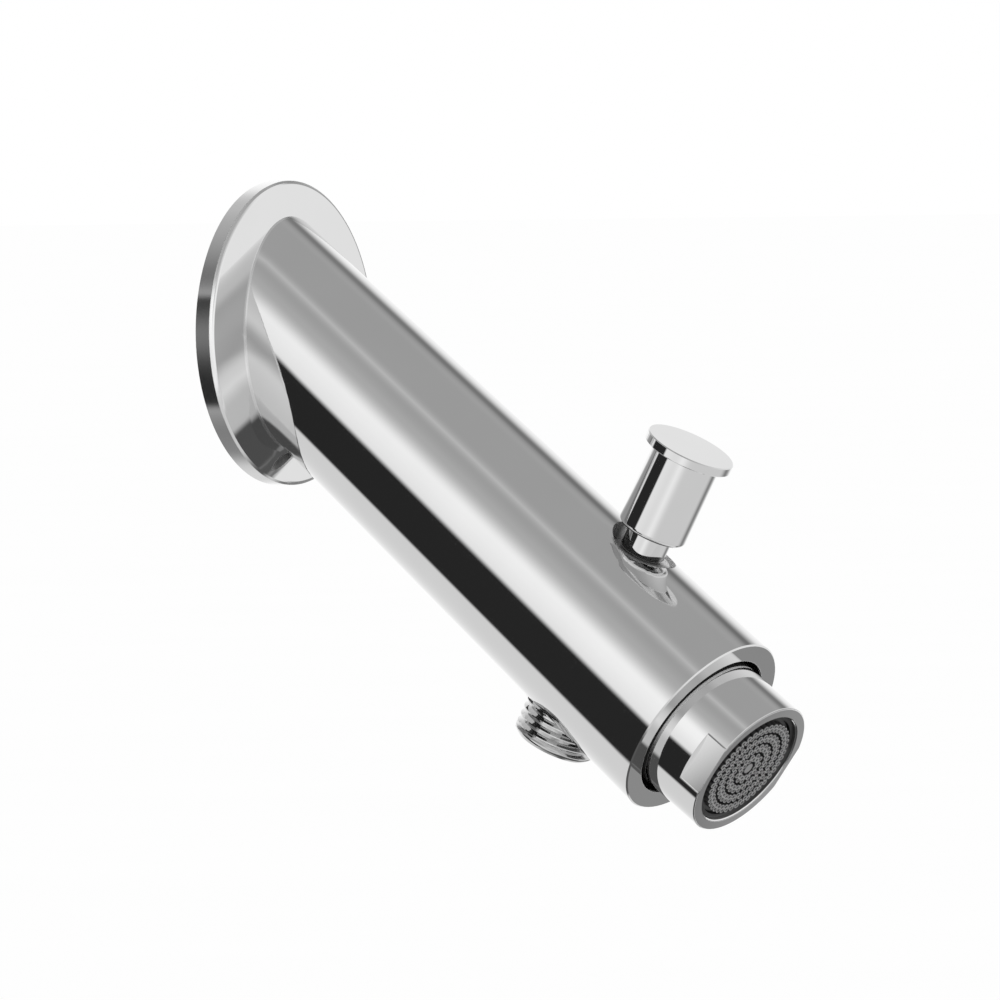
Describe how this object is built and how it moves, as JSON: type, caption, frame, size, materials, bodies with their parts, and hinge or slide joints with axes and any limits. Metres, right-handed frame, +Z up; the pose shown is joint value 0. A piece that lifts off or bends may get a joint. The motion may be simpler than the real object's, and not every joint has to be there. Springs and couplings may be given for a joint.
{
  "type": "bath spout",
  "caption": "Wall-mounted chrome bath spout with a round flange, a sloping tube, a pull-up diverter knob, a threaded hose outlet and an aerated nozzle.",
  "frame": {"origin": "centre of the flange's back face, in the plane of the wall, on the axis of the inlet thread", "axes": "+Z up, -Y out of the wall, +X to the right of someone who faces the wall"},
  "size_m": [0.076, 0.1475, 0.1617],
  "materials": {
    "chrome": "polished chrome plate on brass",
    "raw_brass": "machined brass",
    "steel": "stainless steel",
    "rubber": "matt black rubber",
    "grey_plastic": "matt grey plastic",
    "white_plastic": "matt white plastic"
  },
  "bodies": {
    "spout": {"wall_flange": "chrome", "flange_seal": "rubber", "flange_o_ring": "rubber", "spout_body": "chrome", "inlet_connector": "raw_brass", "inlet_o_rings": "rubber", "grub_screw": "steel", "diverter_bush": "chrome", "bush_o_ring": "rubber", "stem_o_ring": "rubber", "diverter_sleeve": "raw_brass", "sleeve_o_rings": "rubber", "diverter_spring": "steel", "hose_nipple": "chrome", "nipple_gasket": "rubber", "nozzle": "chrome", "nozzle_gasket": "rubber", "aerator_body": "grey_plastic", "aerator_screen": "grey_plastic", "aerator_mesh": "steel", "jet_plate": "white_plastic", "aerator_washer": "rubber"},
    "diverter": {"diverter_stem": "chrome", "diverter_knob": "chrome", "valve_washer_upper": "rubber", "valve_disc": "raw_brass", "valve_washer_lower": "rubber", "valve_nut": "raw_brass"}
  },
  "joints": [
    {"name": "diverter_lift", "type": "slide", "parent": "spout", "child": "diverter", "axis": [0, -0.4924, 0.8704], "range_m": [0, 0.008], "stiffness_N_per_m": 150, "springref_m": -0.01, "deforming": ["diverter_spring"]}
  ]
}
